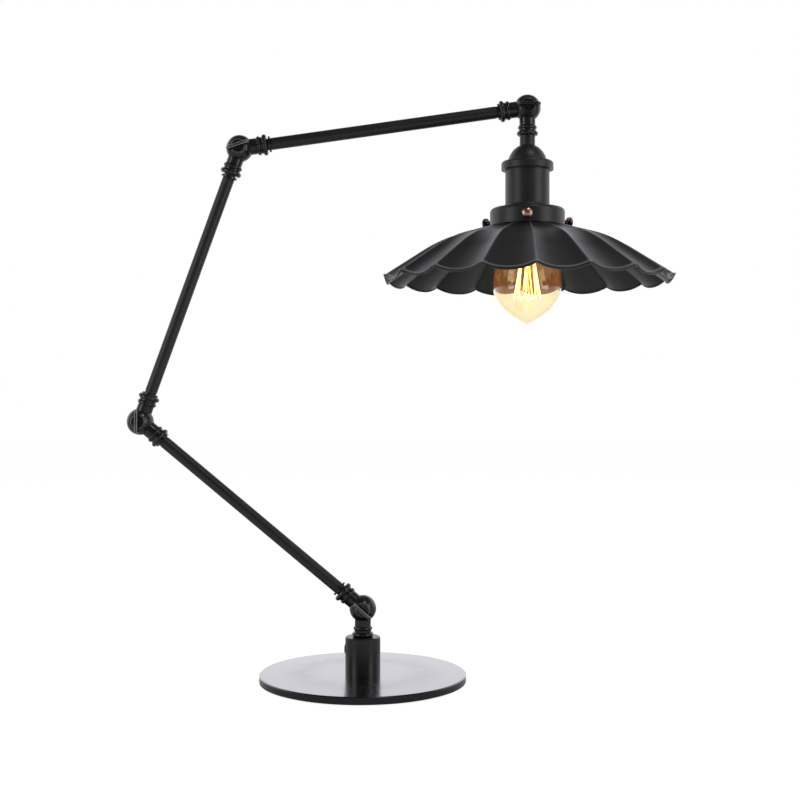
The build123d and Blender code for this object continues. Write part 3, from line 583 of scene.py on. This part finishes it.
# %% Sag between the ridges
turns = add(tree, MATH, [round_share, given["Flutes"]], operation="MULTIPLY")
across = add(tree, MATH, [turns], operation="FRACT")
from_middle = add(tree, MATH, [across, 2.0, -1.0], operation="MULTIPLY_ADD")
from_middle = add(tree, MATH, [from_middle], operation="ABSOLUTE")
closeness = add(tree, MATH, [from_middle, given["Hollow Power"]], operation="POWER")
hollow = add(tree, MATH, [1.0, closeness], operation="SUBTRACT")
neck = {"Value": radius, "From Min": given["Neck Radius"], "From Max": given["Shoulder Radius"]}
begun = add(tree, MAP_RANGE, neck)
lost = add(tree, MATH, [radius, given["Flute Share"]], operation="MULTIPLY")
lost = add(tree, MATH, [lost, slope_sine], operation="MULTIPLY")
level_part = add(tree, MATH, [slope_cosine, slope_cosine], operation="MULTIPLY")
level_part = add(tree, MATH, [level_part, given["Flute Share"]], operation="MULTIPLY")
square_part = add(tree, MATH, [1.0, level_part], operation="SUBTRACT")
ring_sag = add(tree, MATH, [lost, square_part], operation="DIVIDE")
ring_sag = add(tree, MATH, [ring_sag, begun], operation="MULTIPLY")
sag = add(tree, MATH, [ring_sag, hollow], operation="MULTIPLY")
inwards = add(tree, MATH, [sag, slope_sine], operation="MULTIPLY")
sheet_radius = add(tree, MATH, [radius, inwards], operation="SUBTRACT")
sheet_fall = add(tree, MATH, [sag, slope_cosine, ridge_fall], operation="MULTIPLY_ADD")
print("fluted_sheet", len(tree.nodes), "nodes so far")

# %% [markdown]
# Now every corner of the grid can go to its place. Its first and last columns meet there and are merged,
# and the inner edge is drawn straight up to make the neck. A stored attribute is one along the ridges
# and beside the hem, where the lacquer paints pale lines of highlight.

# %% Place the grid, draw up the neck and finish the sheet
def open_edges(tree, centre, limit, side):
    """The open edges of a sheet that lie within a distance of its centre, or past it."""
    edge_faces = add(tree, "GeometryNodeInputMeshEdgeNeighbors")
    is_open = add(tree, "FunctionNodeCompare", {"A": edge_faces, "B": 1}, data_type="INT", operation="EQUAL")
    here = add(tree, "GeometryNodeInputPosition")
    from_axis = add(tree, VECTOR_MATH, [here, centre], operation="SUBTRACT")
    distance = add(tree, VECTOR_MATH, [from_axis], operation="LENGTH").node.outputs["Value"]
    on_side = add(tree, "FunctionNodeCompare", {"A": distance, "B": limit}, operation=side)
    return add(tree, "FunctionNodeBooleanMath", [is_open, on_side], operation="AND")


# The ridges and hem get a painted highlight line, not a real colour of the paint
ridge_highlight_sharpness = 14.0  # of the pale line along a ridge
direction = add(tree, MATH, [round_share, 2 * math.pi, given["First Ridge"]], operation="MULTIPLY_ADD")
east = add(tree, MATH, [direction], operation="COSINE")
north = add(tree, MATH, [direction], operation="SINE")
east = add(tree, MATH, [east, sheet_radius], operation="MULTIPLY")
north = add(tree, MATH, [north, sheet_radius], operation="MULTIPLY")
down = add(tree, MATH, [sheet_fall, -1.0], operation="MULTIPLY")
corner = add(tree, "ShaderNodeCombineXYZ", {"X": east, "Y": north, "Z": down})
corner = add(tree, VECTOR_MATH, [corner, given["Centre"]], operation="ADD")
# Painted highlight: one along the ridges and beside the hem
on_ridge = add(tree, MATH, [from_middle, ridge_highlight_sharpness], operation="POWER")
last_row = add(tree, MATH, [given["Rows"], -1.0], operation="ADD")
from_rim = add(tree, MATH, [out_share, -1.0], operation="ADD")
off_hem = add(tree, MATH, [from_rim, last_row, 1.0], operation="MULTIPLY_ADD")
off_hem = add(tree, MATH, [off_hem], operation="ABSOLUTE")
by_hem = add(tree, MATH, [1.0, off_hem], operation="SUBTRACT")
wear_and_highlight = add(tree, MATH, [on_ridge, by_hem], operation="MAXIMUM")
grid = add(tree, "GeometryNodeStoreNamedAttribute", {"Geometry": grid, "Name": "wear_and_highlight", "Value": wear_and_highlight})
sheet = add(tree, "GeometryNodeSetPosition", {"Geometry": grid, "Position": corner})
sheet = add(tree, "GeometryNodeMergeByDistance", {"Geometry": sheet, "Distance": 0.01 * MM})
sheet = add(tree, "GeometryNodeFlipFaces", {"Mesh": sheet})
inner_edge = open_edges(tree, given["Centre"], given["Shoulder Radius"], "LESS_THAN")
upwards = {"Offset": (0.0, 0.0, 1.0), "Offset Scale": given["Neck Height"]}
drawn = {"Mesh": sheet, "Selection": inner_edge, **upwards}
sheet = add(tree, "GeometryNodeExtrudeMesh", drawn, mode="EDGES")
sheet = add(tree, "GeometryNodeSetShadeSmooth", {0: sheet, "Shade Smooth": True})
end_tree(tree, sheet, given["Finish"])

# %% [markdown]
# With the real sizes the tree presses the shade. The press leaves the ridges slightly rounded, and the
# sheet gets its thickness inwards.

# %% Press the shade
def round_edges(piece, width, angle):
    """Rounds the edges of a piece that bend by more than an angle."""
    bevel = piece.modifiers.new("rounded_edges", "BEVEL")
    bevel.width = width
    bevel.segments = 3
    bevel.limit_method = "ANGLE"
    bevel.angle_limit = angle


def thicken(piece, thickness):
    """Gives a sheet its wall, inwards from the faces that it has."""
    wall = piece.modifiers.new("wall", "SOLIDIFY")
    wall.thickness = thickness
    wall.offset = -1.0


neck_height = 11.5 * MM
rim_ridge = 127.0 * MM
rim_slope = math.radians(32.7)
flute_depth = 5.8 * MM
bead_radius = 1.1 * MM
hem_inset = 1.2 * bead_radius
sheet_thickness = 0.9 * MM
ridge_rounding = 0.5 * MM
ridge_angle = math.radians(14)
shade_low, shade_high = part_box("shade")
shade_centre = Vector((head_pivot.x, head_pivot.y, shade_high.z - neck_height))
shade_sizes = {
    "Flutes": 18,
    "Columns per Flute": 20,
    "Rows": 48,
    "First Ridge": math.radians(-92.5),
    "Neck Radius": 29.4 * MM,
    "Neck Height": neck_height,
    "Shoulder Radius": 36.0 * MM,
    "Rim Radius": rim_ridge - hem_inset,
    "Bend Start": 62.0 * MM,
    "Bend Width": 30.0 * MM,
    "Crown Slope": math.radians(16.0),
    "Rim Slope": rim_slope,
    "Flute Share": flute_depth / (rim_ridge * math.sin(rim_slope)),
    "Hollow Power": 2.3,
    "Centre": shade_centre,
    "Finish": satin_lacquer,
}
shade = grow("fluted_shade", tree, shade_sizes)
rim_source = shade.data.copy()
round_edges(shade, ridge_rounding, ridge_angle)
thicken(shade, sheet_thickness)
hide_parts("shade")
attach(shade, "head")
print("shade spans", [round(c, 4) for c in shade_low], [round(c, 4) for c in shade_high])

# %% [markdown]
# ## The rolled hem
# The rim of the sheet is rolled into a bead, which stiffens it and hides the cut edge. A bead that
# follows an edge is a swept circle, so this tree takes the sheet's outer edge as a curve.

# %% Roll the hem
def wire_along(tree, line, radius, sides):
    """A round wire along a curve, with its ends closed."""
    section = add(tree, "GeometryNodeCurvePrimitiveCircle", {"Resolution": sides, "Radius": radius})
    swept = {"Curve": line, "Profile Curve": section, "Fill Caps": True}
    return add(tree, "GeometryNodeCurveToMesh", swept)


def lift(tree, piece, height):
    """Moves a piece up by a height."""
    upwards = add(tree, "ShaderNodeCombineXYZ", {"Z": height})
    return add(tree, "GeometryNodeTransform", {"Geometry": piece, "Translation": upwards})


tree, given = new_tree("rolled_hem", Float=["Bead Radius", "Drop", "Neck"], Vector=["Centre"])
rim_edge = open_edges(tree, given["Centre"], given["Neck"], "GREATER_THAN")
rim_line = add(tree, "GeometryNodeMeshToCurve", {"Mesh": given["Geometry"], "Selection": rim_edge})
rim_line = lift(tree, rim_line, given["Drop"])
bead = wire_along(tree, rim_line, given["Bead Radius"], sides=12)
bead = add(tree, "GeometryNodeSetShadeSmooth", {0: bead, "Shade Smooth": True})
end_tree(tree, bead, given["Finish"])
hem_sizes = {
    "Bead Radius": bead_radius,
    "Drop": -sheet_thickness / 2,
    "Neck": shade_sizes["Shoulder Radius"],
    "Centre": shade_centre,
    "Finish": satin_lacquer,
}
hem = grow("shade_hem", tree, hem_sizes, rim_source)
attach(hem, "head")

# %% [markdown]
# ## The blown glass
# A bulb is blown in a mould and sealed off at the tip, so its outline has no corners. It follows a rule
# on each side of its widest point: below it the radius shrinks to a blunt tip, and above it one arc
# leads in and a second leads on to the neck. Rings of points at those radii, joined from the tip to the
# neck, make the outer face, and Solidify gives the glass its wall.

# %% Blow the glass
glass_centre = Vector((head_pivot.x, head_pivot.y, 0.0))
widest = 29.8 * MM
bowl_depth = 31.8 * MM
widest_rise = 30.5 * MM  # of the widest point, above the lowest point of the solid
bluntness = 0.84
glass_thickness = 0.8 * MM
shoulder_arc = 112.0 * MM
shoulder_turn = math.radians(29.0)
neck_radius = 12.5 * MM
neck_arc = (widest - neck_radius) / (1 - math.cos(shoulder_turn)) - shoulder_arc
shoulder_rise = shoulder_arc * math.sin(shoulder_turn)
neck_rise = shoulder_rise + neck_arc * math.sin(shoulder_turn)
widest_height = glass_low.z + widest_rise


def glass_radius(rise):
    """Outer radius of the bulb at a height above its widest point."""
    if rise < 0:
        return widest * max(1 - (rise / bowl_depth) ** 2, 0.0) ** bluntness
    if rise < shoulder_rise:
        return widest - shoulder_arc + math.sqrt(shoulder_arc**2 - rise**2)
    if rise < neck_rise:
        return neck_radius + neck_arc - math.sqrt(neck_arc**2 - (neck_rise - rise) ** 2)
    return neck_radius


glass_sides, bowl_steps, upper_steps = 72, 36, 30
bowl_angles = [math.radians(90 / bowl_steps * step) for step in range(1, bowl_steps + 1)]
bowl_rings = [-bowl_depth * math.cos(angle) for angle in bowl_angles]
neck_end = glass_high.z - widest_height
upper_rings = [neck_end * step / upper_steps for step in range(1, upper_steps + 1)]
points = [glass_centre + Vector((0, 0, widest_height - bowl_depth))]
for rise in bowl_rings + upper_rings:
    for side in range(glass_sides):
        turn = 2 * math.pi * side / glass_sides
        outwards = Vector((math.cos(turn), math.sin(turn), 0)) * glass_radius(rise)
        points.append(glass_centre + outwards + Vector((0, 0, widest_height + rise)))
ring_starts = range(1, len(points), glass_sides)
faces = []
for side in range(glass_sides):
    after = (side + 1) % glass_sides
    faces.append((0, 1 + after, 1 + side))
    for low, high in zip(ring_starts, ring_starts[1:]):
        faces.append((low + side, low + after, high + after, high + side))
glass_mesh = bpy.data.meshes.new("blown_glass")
glass_mesh.from_pydata(points, [], faces)
glass_mesh.shade_smooth()
glass_mesh.materials.append(amber_glass)
glass = new_object("blown_glass", glass_mesh)
thicken(glass, glass_thickness)
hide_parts("bulb_glass")
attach(glass, "bulb")
print("blown_glass", len(faces), "faces, widest", round(2 * widest / MM, 1), "mm")

# %% [markdown]
# ## The coiled filament
# A carbon-style filament bulb hangs its wire in hairpins round a glass stem. The wire itself is wound
# into a fine coil, which is what makes the glowing lines look thick. One rule places every point of the
# coil: walk down a leg, round the bend and up the other leg, and circle round that path on the way.

# %% Tree of one coiled hairpin
points_per_coil = 10.0
tree, given = new_tree(
    "coiled_filament",
    Int=["Hairpins", "Coils"],
    Float=["Leg", "Bend", "Coil Radius", "Wire Radius", "Cage Radius", "Lean"],
    Vector=["Top"],
)
steps = add(tree, MATH, [given["Coils"], points_per_coil], operation="MULTIPLY")
line = add(tree, "GeometryNodeCurvePrimitiveLine", {"End": (0.0, 0.0, 1.0)})
line = add(tree, "GeometryNodeResampleCurve", {"Curve": line, "Count": steps})
share = add(tree, "GeometryNodeSplineParameter")
bend_length = add(tree, MATH, [given["Bend"], math.pi], operation="MULTIPLY")
length = add(tree, MATH, [given["Leg"], 2.0, bend_length], operation="MULTIPLY_ADD")
walked = add(tree, MATH, [share, length], operation="MULTIPLY")
down = add(tree, MATH, [walked, given["Leg"]], operation="MINIMUM")
past_leg = past(tree, walked, given["Leg"])
bent = add(tree, MATH, [past_leg, given["Bend"]], operation="DIVIDE")
bent = add(tree, MATH, [bent, math.pi], operation="MINIMUM")
up = past(tree, past_leg, bend_length)
sunk = add(tree, MATH, [up, down], operation="SUBTRACT")
bent_cosine = add(tree, MATH, [bent], operation="COSINE")
bent_sine = add(tree, MATH, [bent], operation="SINE")
circling = add(tree, MATH, [given["Coils"], 2 * math.pi], operation="MULTIPLY")
circling = add(tree, MATH, [circling, share], operation="MULTIPLY")
coil_out = add(tree, MATH, [circling], operation="COSINE")
coil_side = add(tree, MATH, [circling], operation="SINE")
coil_side = add(tree, MATH, [coil_side, given["Coil Radius"]], operation="MULTIPLY")
reach = add(tree, MATH, [coil_out, given["Coil Radius"], given["Bend"]], operation="MULTIPLY_ADD")
reach = add(tree, MATH, [reach, -1.0], operation="MULTIPLY")
width = add(tree, MATH, [reach, bent_cosine], operation="MULTIPLY")
height = add(tree, MATH, [reach, bent_sine, sunk], operation="MULTIPLY_ADD")
point = add(tree, "ShaderNodeCombineXYZ", {"X": coil_side, "Y": width, "Z": height})
coil = add(tree, "GeometryNodeSetPosition", {"Geometry": line, "Position": point})
coil = wire_along(tree, coil, given["Wire Radius"], sides=6)
coil = add(tree, "GeometryNodeSetShadeSmooth", {0: coil, "Shade Smooth": True})
print("coiled_filament", len(tree.nodes), "nodes for one hairpin")

# %% [markdown]
# The cage is one hairpin, copied to the corners of a ring. Each copy faces outwards and leans, so the
# cage is wider at the bends than at the top.

# %% Hang the hairpins in a cage
def set_round(tree, piece, count, radius, middle, lean=0.0):
    """Copies of a piece on a ring round a point, each turned to face outwards and tipped by an angle."""
    ring = add(tree, "GeometryNodeMeshCircle", {"Vertices": count, "Radius": radius})
    spot = add(tree, "ShaderNodeSeparateXYZ", [add(tree, "GeometryNodeInputPosition")]).node.outputs
    azimuth = add(tree, MATH, [spot["Y"], spot["X"]], operation="ARCTAN2")
    turn = add(tree, "ShaderNodeCombineXYZ", {"Y": lean, "Z": azimuth})
    turn = add(tree, "FunctionNodeEulerToRotation", [turn])
    copies = add(tree, "GeometryNodeInstanceOnPoints", {"Points": ring, "Instance": piece, "Rotation": turn})
    return add(tree, "GeometryNodeTransform", {"Geometry": copies, "Translation": middle})


lean = add(tree, MATH, [given["Lean"], -1.0], operation="MULTIPLY")
cage = set_round(tree, coil, given["Hairpins"], given["Cage Radius"], given["Top"], lean)
end_tree(tree, cage, given["Finish"])

hairpin_width = 6.0 * MM
hairpin_length = 31.0 * MM
hairpin_play = 1.2 * MM  # by which the coiled hairpin is shorter, to make room for its coils
hairpin_lean = math.radians(9.7)
cage_radius = 6.3 * MM
coil_radius = 0.45 * MM
wire_radius = 0.16 * MM
filament_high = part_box("bulb_filament")[1]
filament_sizes = {
    "Hairpins": 6,
    "Coils": 56,
    "Leg": hairpin_length - hairpin_width / 2 - hairpin_play,
    "Bend": hairpin_width / 2,
    "Coil Radius": coil_radius,
    "Wire Radius": wire_radius,
    "Cage Radius": cage_radius,
    "Lean": hairpin_lean,
    "Top": Vector((head_pivot.x, head_pivot.y, filament_high.z)),
    "Finish": glowing_tungsten,
}
filament = grow("coiled_filament", tree, filament_sizes)
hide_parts("bulb_filament")
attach(filament, "bulb")

# %% [markdown]
# ## Support wires
# Six thin wires reach out from the lower bead of the stem and hold the hairpins by their bends. Each
# is straight, from the bead to the inside of a bend, and the tree sets one at each hairpin.

# %% Wires from the bead to the bends
def smooth_below(tree, piece, angle):
    """Shades a piece smoothly across the edges that bend by less than an angle."""
    bend = add(tree, "GeometryNodeInputMeshEdgeAngle")
    gentle = add(tree, "FunctionNodeCompare", {"A": bend, "B": angle}, operation="LESS_THAN")
    return add(tree, "GeometryNodeSetShadeSmooth", {0: piece, "Shade Smooth": gentle}, domain="EDGE")


tree, given = new_tree(
    "support_wires", Int=["Wires"], Float=["Wire Radius", "Bead Radius"], Vector=["Reach", "Middle"]
)
wire = add(tree, "GeometryNodeCurvePrimitiveLine", {"End": given["Reach"]})
wire = wire_along(tree, wire, given["Wire Radius"], sides=8)
wire = smooth_below(tree, wire, angle=math.radians(60))
wires = set_round(tree, wire, given["Wires"], given["Bead Radius"], given["Middle"])
end_tree(tree, wires, given["Finish"])

support_radius = 0.3 * MM
stem_bead_radius = 2.5 * MM
root_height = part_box("bulb_supports")[1].z - support_radius
hook_depth = filament_sizes["Leg"] + hairpin_width / 2 - coil_radius - wire_radius - support_radius
hook_radius = cage_radius + hook_depth * math.sin(hairpin_lean)
hook_height = filament_high.z - hook_depth * math.cos(hairpin_lean)
support_sizes = {
    "Wires": filament_sizes["Hairpins"],
    "Wire Radius": support_radius,
    "Bead Radius": stem_bead_radius,
    "Reach": Vector((hook_radius - stem_bead_radius, 0.0, hook_height - root_height)),
    "Middle": Vector((head_pivot.x, head_pivot.y, root_height)),
    "Finish": finish_of_slot["support_wire"],
}
supports = grow("support_wires", tree, support_sizes)
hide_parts("bulb_supports")
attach(supports, "bulb")

# %% [markdown]
# ## Knurled screws
# Three small screws hold the shade. Each has a short domed knob with a straight knurl, so that fingers
# grip it, and a thread. The knurl is a wave round the knob, the dome falls with the square of the
# distance from the axis, and the thread is a spiral round the shank, so one tree makes the whole screw
# from its real sizes.

# %% Knob of a knurled screw
sides_per_tooth = 6.0
rim_starts = 0.99  # of the knob's radius
crest_share = 0.3  # radius of the thread's crest, as a share of its pitch
sharp_angle = math.radians(40)  # an edge that bends by more is sharp
tree, given = new_tree(
    "knurled_screw",
    Int=["Teeth"],
    Float=["Tooth Depth", "Knob Radius", "Knob Length", "Dome", "Shank Radius", "Shank Length", "Pitch"],
    Vector=["Turn", "Tip"],
)
sides = add(tree, MATH, [given["Teeth"], sides_per_tooth], operation="MULTIPLY")
knob_sizes = {"Vertices": sides, "Radius": given["Knob Radius"], "Depth": given["Knob Length"]}
knob = add(tree, "GeometryNodeMeshCylinder", {**knob_sizes, "Fill Segments": 8})
spot = add(tree, "ShaderNodeSeparateXYZ", [add(tree, "GeometryNodeInputPosition")]).node.outputs
azimuth = add(tree, MATH, [spot["Y"], spot["X"]], operation="ARCTAN2")
wave = add(tree, MATH, [azimuth, given["Teeth"]], operation="MULTIPLY")
wave = add(tree, MATH, [wave], operation="COSINE")
cut_share = add(tree, MAP_RANGE, {"Value": wave, "From Min": -1.0, "To Min": -1.0, "To Max": 0.0})
outwards = add(tree, "ShaderNodeCombineXYZ", {"X": spot["X"], "Y": spot["Y"]})
off_axis = add(tree, VECTOR_MATH, [outwards], operation="LENGTH").node.outputs["Value"]
off_axis = add(tree, MATH, [off_axis, given["Knob Radius"]], operation="DIVIDE")
off_square = add(tree, MATH, [off_axis, off_axis], operation="MULTIPLY")
on_rim = add(tree, MATH, [off_axis, rim_starts], operation="GREATER_THAN")
groove = add(tree, MATH, [cut_share, given["Tooth Depth"]], operation="MULTIPLY")
groove = add(tree, MATH, [groove, on_rim], operation="MULTIPLY")
outwards = add(tree, VECTOR_MATH, [outwards], operation="NORMALIZE")
groove = add(tree, VECTOR_MATH, {0: outwards, "Scale": groove}, operation="SCALE")
outer_end = add(tree, MATH, [spot["Z"], 0.0], operation="GREATER_THAN")
fall = add(tree, MATH, [off_square, given["Dome"]], operation="MULTIPLY")
fall = add(tree, MATH, [fall, outer_end], operation="MULTIPLY")
fall = add(tree, MATH, [fall, -1.0], operation="MULTIPLY")
# Painted highlight and thumb wear: one in the middle of the knob's face, none at its rim
wear_and_highlight = add(tree, MATH, [1.0, off_square], operation="SUBTRACT")
wear_and_highlight = add(tree, MATH, [wear_and_highlight, outer_end], operation="MULTIPLY")
knob = add(tree, "GeometryNodeStoreNamedAttribute", {"Geometry": knob, "Name": "wear_and_highlight", "Value": wear_and_highlight})
shaping = add(tree, "ShaderNodeCombineXYZ", {"Z": fall})
shaping = add(tree, VECTOR_MATH, [shaping, groove], operation="ADD")
knob = add(tree, "GeometryNodeSetPosition", {"Geometry": knob, "Offset": shaping})
knob_middle = add(tree, MATH, [given["Knob Length"], 0.5, given["Shank Length"]], operation="MULTIPLY_ADD")
knob = lift(tree, knob, knob_middle)
print("knurled_screw", len(tree.nodes), "nodes for the knob")

# %% [markdown]
# The shank is a plain cylinder. The thread is a round wire along a spiral, sunk half-way into the shank.
# It starts and ends half a pitch from the shank's ends, so that it never stands out past them.

# %% Shank, thread and the whole screw
shank_sizes = {"Vertices": 32, "Radius": given["Shank Radius"], "Depth": given["Shank Length"]}
shank = add(tree, "GeometryNodeMeshCylinder", shank_sizes)
half_shank = add(tree, MATH, [given["Shank Length"], 0.5], operation="MULTIPLY")
shank = lift(tree, shank, half_shank)
thread_length = add(tree, MATH, [given["Shank Length"], given["Pitch"]], operation="SUBTRACT")
rounds = add(tree, MATH, [thread_length, given["Pitch"]], operation="DIVIDE")
thread_radius = {"Start Radius": given["Shank Radius"], "End Radius": given["Shank Radius"]}
thread_sizes = {"Resolution": 24, "Rotations": rounds, "Height": thread_length, **thread_radius}
spiral = add(tree, "GeometryNodeCurveSpiral", thread_sizes)
crest = add(tree, MATH, [given["Pitch"], crest_share], operation="MULTIPLY")
thread = wire_along(tree, spiral, crest, sides=10)
half_pitch = add(tree, MATH, [given["Pitch"], 0.5], operation="MULTIPLY")
thread = lift(tree, thread, half_pitch)
screw = add(tree, "GeometryNodeJoinGeometry").node
for piece in (thread, shank, knob):
    tree.links.new(piece, screw.inputs["Geometry"])
turn = add(tree, "FunctionNodeEulerToRotation", [given["Turn"]])
placed = {"Geometry": screw.outputs["Geometry"], "Translation": given["Tip"], "Rotation": turn}
screw = add(tree, "GeometryNodeTransform", placed)
screw = smooth_below(tree, screw, sharp_angle)
end_tree(tree, screw, given["Finish"])

# %% [markdown]
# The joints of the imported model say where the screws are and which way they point. The tree runs once for
# each of them, and a narrow bevel rounds the edges of the knob.

# %% Turn the three screws outwards
screw_tip = 29.5 * MM
knob_start = 41.3 * MM
knob_rounding = 0.5 * MM
for number in (1, 2, 3):
    outwards = next(j["axis"] for j in frame["joints"] if j["name"] == f"thumb_{number}_turn")
    screw_centre = pivots[f"thumb_{number}_turn"]
    screw_sizes = {
        "Teeth": 26,
        "Tooth Depth": 0.35 * MM,
        "Knob Radius": 4.8 * MM,
        "Knob Length": 4.2 * MM,
        "Dome": 1.9 * MM,
        "Shank Radius": 1.75 * MM,
        "Shank Length": knob_start - screw_tip,
        "Pitch": 0.7 * MM,
        "Turn": (0.0, math.radians(90), math.atan2(outwards[1], outwards[0])),
        "Tip": screw_centre + Vector(outwards) * screw_tip,
        "Finish": antique_copper,
    }
    knurled = grow(f"knurled_screw_{number}", tree, screw_sizes)
    round_edges(knurled, knob_rounding, sharp_angle)
    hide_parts(f"shade_screw_{number}")
    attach(knurled, f"thumb_{number}")
